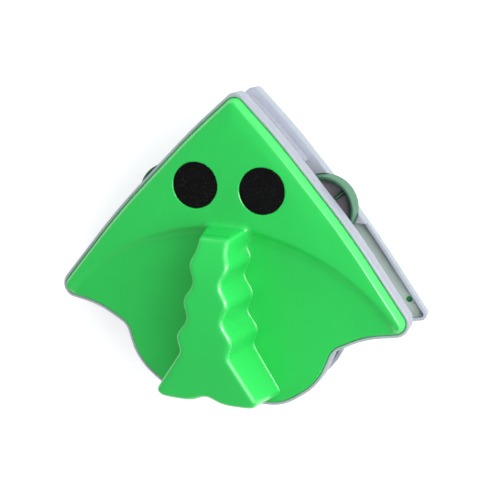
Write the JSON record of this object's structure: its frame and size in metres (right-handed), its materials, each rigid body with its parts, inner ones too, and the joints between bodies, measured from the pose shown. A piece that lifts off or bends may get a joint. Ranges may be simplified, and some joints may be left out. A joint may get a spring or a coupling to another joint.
{
  "type": "magnetic glass cleaner",
  "caption": "Two-sided magnetic glass cleaner: winged front half with a wavy finger grip and dark round eye discs, rear half with turning magnet dials at its edges.",
  "frame": {"origin": "on the rear cover's flat rest face, on the plane of symmetry, 85.5 mm behind the tip of the nose", "axes": "+Z out of the rest face towards the grip, +Y towards the nose, +X towards the right wing tip"},
  "size_m": [0.2378, 0.1959, 0.0979],
  "materials": {
    "green_plastic": "glossy moulded green plastic",
    "white_plastic": "satin moulded white plastic",
    "dial_plastic": "satin translucent-looking teal green plastic",
    "black_foam": "fine-grained black foam",
    "white_felt": "dense white wiping felt",
    "blade_rubber": "matt black rubber",
    "magnet": "dull dark grey magnet",
    "keeper_steel": "zinc-plated steel plate",
    "screw_steel": "bright zinc-plated steel"
  },
  "bodies": {
    "rear_half": {"rear_cover": "green_plastic", "rear_tray": "white_plastic", "rear_yoke_plate": "keeper_steel", "rear_pad": "white_felt", "rear_blade_left": "blade_rubber", "rear_blade_right": "blade_rubber", "rear_screws": "screw_steel", "dial_axle_left": "screw_steel", "dial_axle_right": "screw_steel", "dial_clip_left": "screw_steel", "dial_clip_right": "screw_steel"},
    "dial_left": {"dial_left": "dial_plastic", "dial_magnet_left": "magnet"},
    "dial_right": {"dial_right": "dial_plastic", "dial_magnet_right": "magnet"},
    "front_half": {"front_tray": "white_plastic", "front_cover": "green_plastic", "front_yoke_plate": "keeper_steel", "front_magnet_left": "magnet", "front_magnet_right": "magnet", "front_pad": "white_felt", "front_blade_left": "blade_rubber", "front_blade_right": "blade_rubber", "front_screws": "screw_steel", "eye_disc_left": "black_foam", "eye_disc_right": "black_foam"}
  },
  "joints": [
    {"name": "front_lift", "type": "slide", "parent": "rear_half", "child": "front_half", "axis": [0, 0, 1], "range_m": [0, 0.06]},
    {"name": "dial_left_turn", "type": "hinge", "parent": "rear_half", "child": "dial_left", "pos_m": [-0.051, 0.0136, 0.0165], "axis": [0, 0, 1], "range_deg": [-90, 90]},
    {"name": "dial_right_turn", "type": "hinge", "parent": "rear_half", "child": "dial_right", "pos_m": [0.051, 0.0136, 0.0165], "axis": [0, 0, 1], "range_deg": [-90, 90]}
  ]
}
